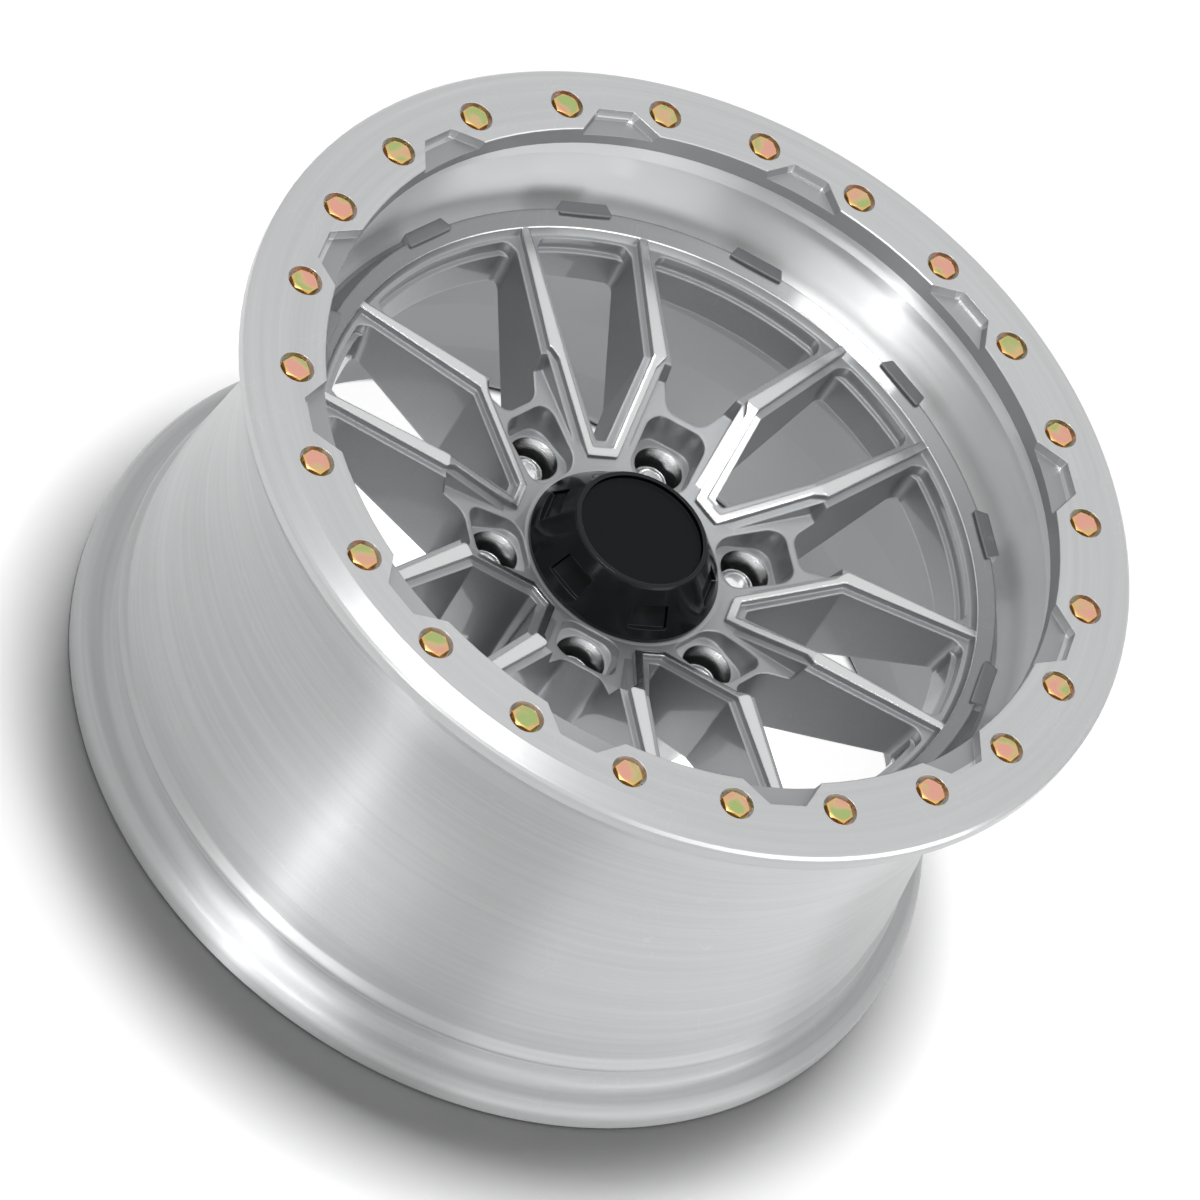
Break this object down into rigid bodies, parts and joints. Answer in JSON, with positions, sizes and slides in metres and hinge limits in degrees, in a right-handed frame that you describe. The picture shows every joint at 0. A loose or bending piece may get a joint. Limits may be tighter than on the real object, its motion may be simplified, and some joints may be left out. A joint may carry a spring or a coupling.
{
  "type": "beadlock car wheel",
  "caption": "Cast alloy wheel with paired spokes, a bolted beadlock ring, a centre cap and closed-end lug nuts.",
  "frame": {"origin": "centre of the rear flange's plane, on the wheel's axis; the wheel lies on this flange", "axes": "+Z along the wheel's axis towards its outer face, +X through one lug hole"},
  "size_m": [0.4725, 0.4726, 0.2555],
  "materials": {
    "silver_paint": "satin silver",
    "yellow_zinc": "iridescent yellow zinc",
    "chrome": "polished",
    "black_gloss": "gloss black",
    "black_matte": "matte black",
    "spring_steel": "bright wire"
  },
  "bodies": {
    "root": {"wheel_casting": "silver_paint", "beadlock_ring": "silver_paint", "ring_bolts": "yellow_zinc", "ring_washers": "yellow_zinc", "lug_nuts": "chrome", "centre_cap": "black_gloss", "cap_disc": "black_matte", "cap_clip_ring": "spring_steel"}
  },
  "joints": []
}
